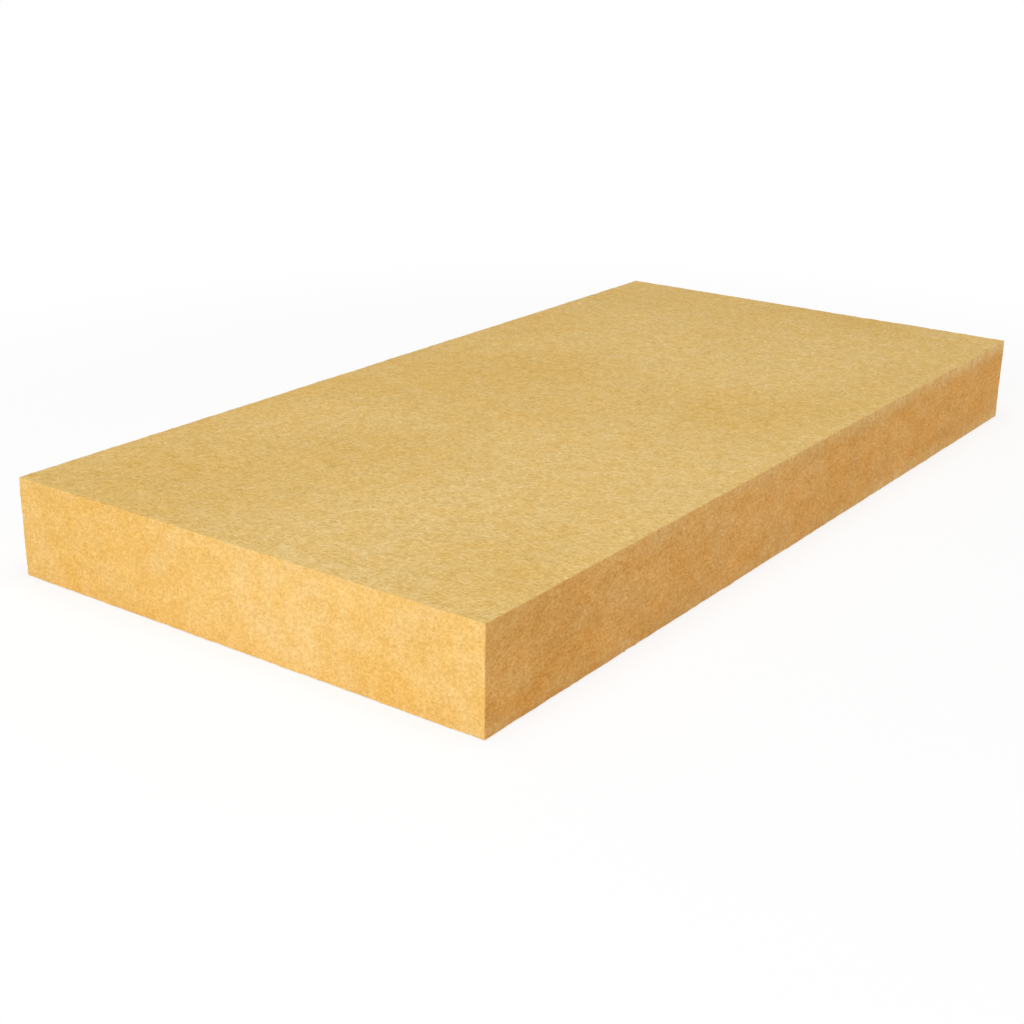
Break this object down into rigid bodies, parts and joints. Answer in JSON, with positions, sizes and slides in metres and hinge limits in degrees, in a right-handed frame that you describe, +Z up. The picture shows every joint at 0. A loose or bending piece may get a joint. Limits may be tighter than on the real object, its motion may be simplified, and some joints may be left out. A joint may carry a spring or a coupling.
{
  "type": "insulation panel",
  "caption": "Rectangular rigid fibre insulation board with flat felted faces, square sawn sides and slightly eased edges.",
  "frame": {"origin": "centre of the underside", "axes": "+X across the width, +Y along the length, +Z up through the thickness"},
  "size_m": [0.6, 1.2, 0.11],
  "materials": {
    "wood_fibre": "matte, felted fibre, sawn sides"
  },
  "bodies": {
    "root": {"insulation_panel": "wood_fibre"}
  },
  "joints": []
}
